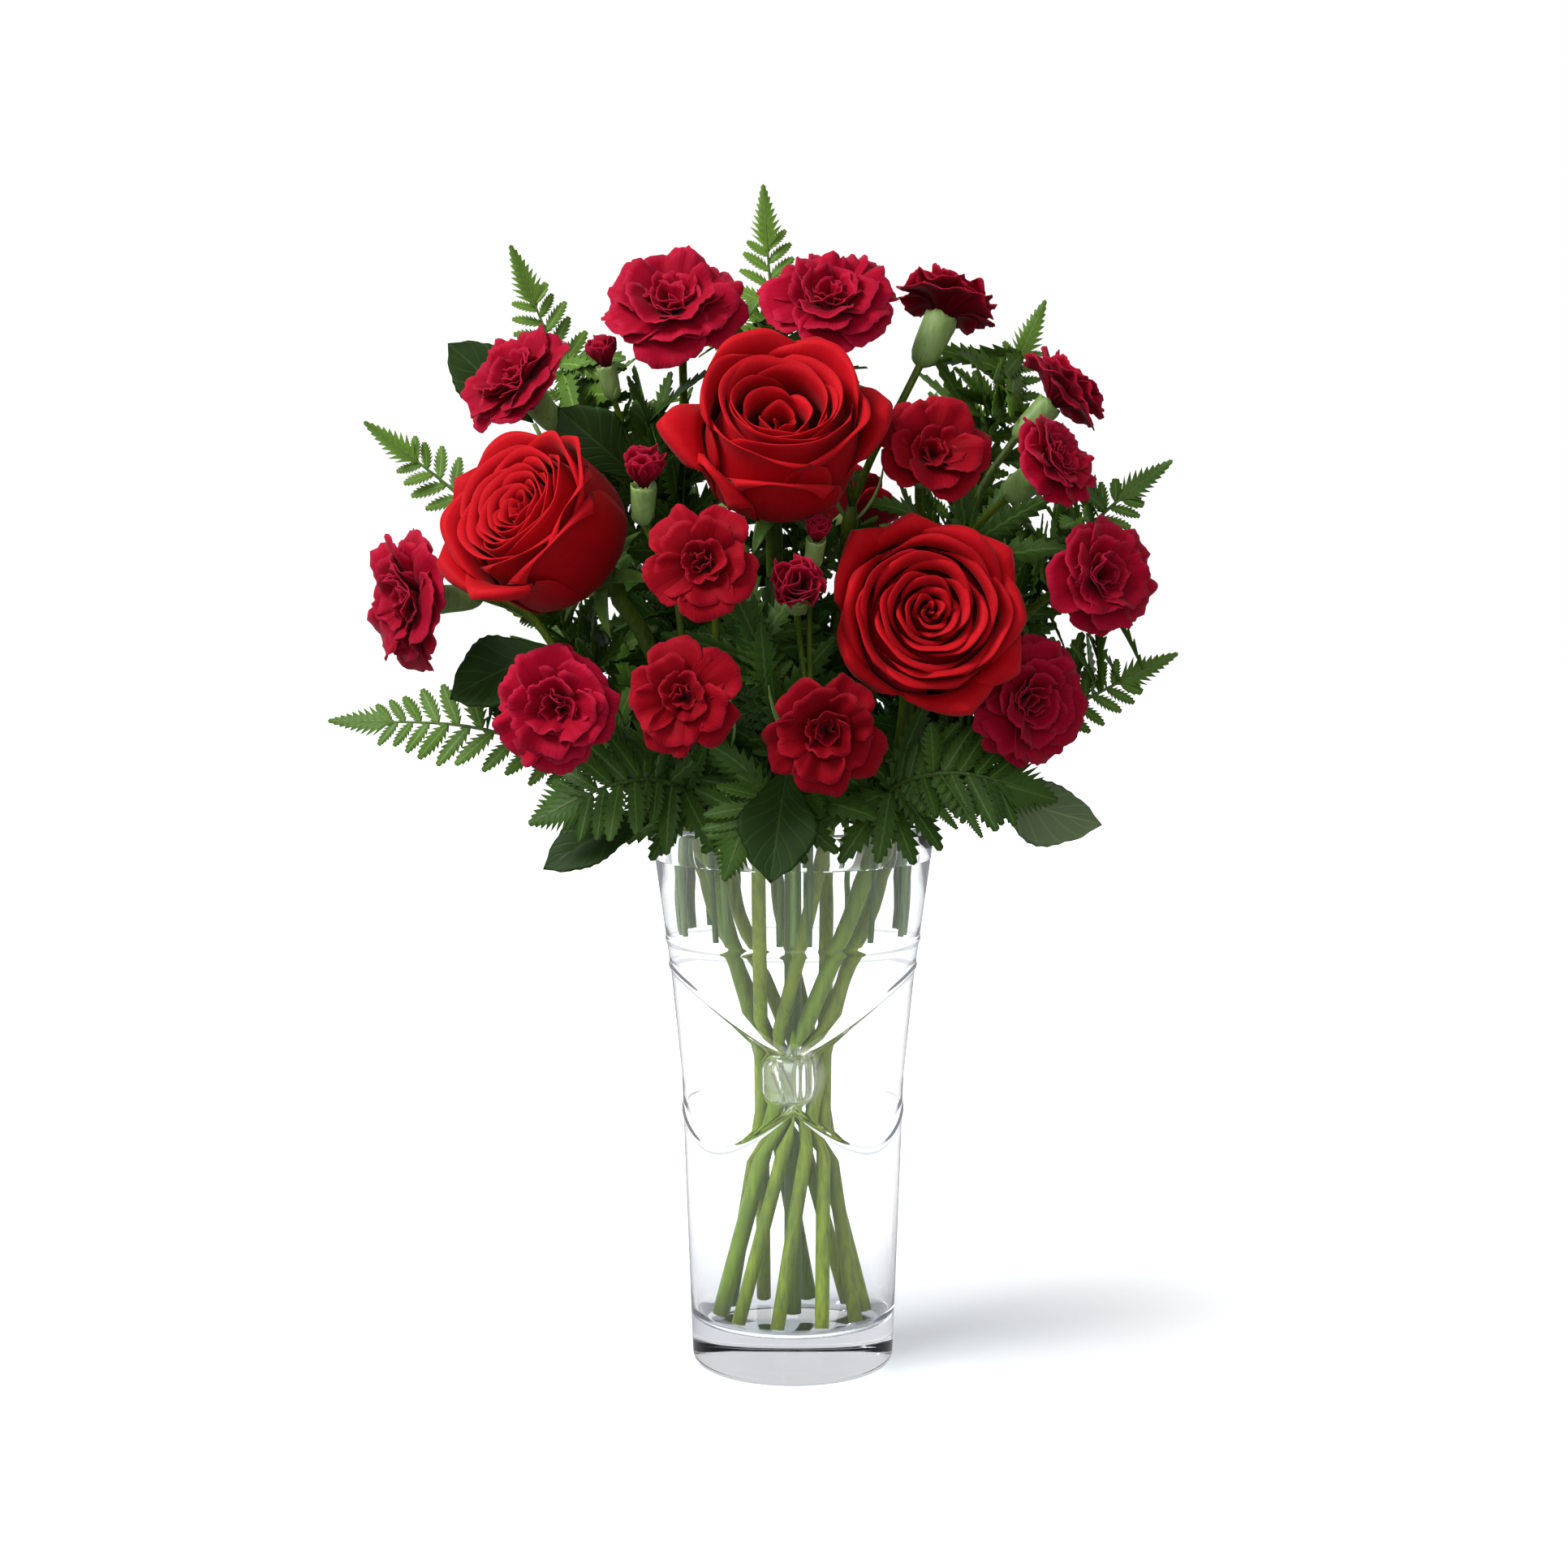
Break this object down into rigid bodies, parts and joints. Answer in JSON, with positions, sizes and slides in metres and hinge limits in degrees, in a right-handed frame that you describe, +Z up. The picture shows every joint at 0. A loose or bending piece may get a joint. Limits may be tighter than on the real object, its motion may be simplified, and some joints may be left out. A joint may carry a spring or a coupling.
{
  "type": "carnations in a vase",
  "caption": "Flared clear glass vase of red spray carnations with red roses, fern fronds and broad leaves, standing in water; a moulded sash and knot decorate the glass.",
  "frame": {"origin": "centre of the vase's flat foot, on the surface it stands on", "axes": "+Z up along the vase axis, -Y towards the front of the bouquet, +X to the viewer's right"},
  "size_m": [0.3092, 0.2257, 0.4371],
  "materials": {
    "vase_glass": "clear thick pressed glass with a raised sash, gloss",
    "water": "clear still water, gloss",
    "rose_petal": "scarlet velvety petals, darker in the folds",
    "rose_green": "green rose stem and sepals",
    "carnation_petal": "crimson ruffled petals with a paler toothed edge",
    "spray_green": "pale green smooth stems and calyces",
    "fern": "leathery green fern leaflets with a paler rib",
    "broad_leaf": "dark leathery leaf, paler and greyer below"
  },
  "bodies": {
    "root": {"carnation_c1": "carnation_petal", "carnation_c10": "carnation_petal", "carnation_c11": "carnation_petal", "carnation_c12": "carnation_petal", "carnation_c13": "carnation_petal", "carnation_c14": "carnation_petal", "carnation_c15": "carnation_petal", "carnation_c16": "carnation_petal", "carnation_c17": "carnation_petal", "carnation_c18": "carnation_petal", "carnation_c19": "carnation_petal", "carnation_c2": "carnation_petal", "carnation_c20": "carnation_petal", "carnation_c3": "carnation_petal", "carnation_c4": "carnation_petal", "carnation_c5": "carnation_petal", "carnation_c6": "carnation_petal", "carnation_c7": "carnation_petal", "carnation_c8": "carnation_petal", "carnation_c9": "carnation_petal", "fern_back": "fern", "fern_back_left": "fern", "fern_back_right": "fern", "fern_front": "fern", "fern_front_left": "fern", "fern_front_right": "fern", "fern_left": "fern", "fern_lower_left": "fern", "fern_mid_front": "fern", "fern_mid_left": "fern", "fern_mid_right": "fern", "fern_right": "fern", "fern_top": "fern", "fern_top_right": "fern", "fern_upper_left": "fern", "fern_upper_right": "fern", "leaf_back_left": "broad_leaf", "leaf_back_right": "broad_leaf", "leaf_far_left": "broad_leaf", "leaf_front": "broad_leaf", "leaf_low_left": "broad_leaf", "leaf_low_right": "broad_leaf", "leaf_mid_left": "broad_leaf", "leaf_upper_left": "broad_leaf", "rose_left": "rose_petal", "rose_right": "rose_petal", "rose_stem_left": "rose_green", "rose_stem_right": "rose_green", "rose_stem_top": "rose_green", "rose_top": "rose_petal", "spray_back": "spray_green", "spray_front_left": "spray_green", "spray_front_right": "spray_green", "spray_left_low": "spray_green", "spray_right_high": "spray_green", "spray_right_low": "spray_green", "spray_top_left": "spray_green", "spray_top_right": "spray_green", "vase": "vase_glass", "water": "water"}
  },
  "joints": []
}
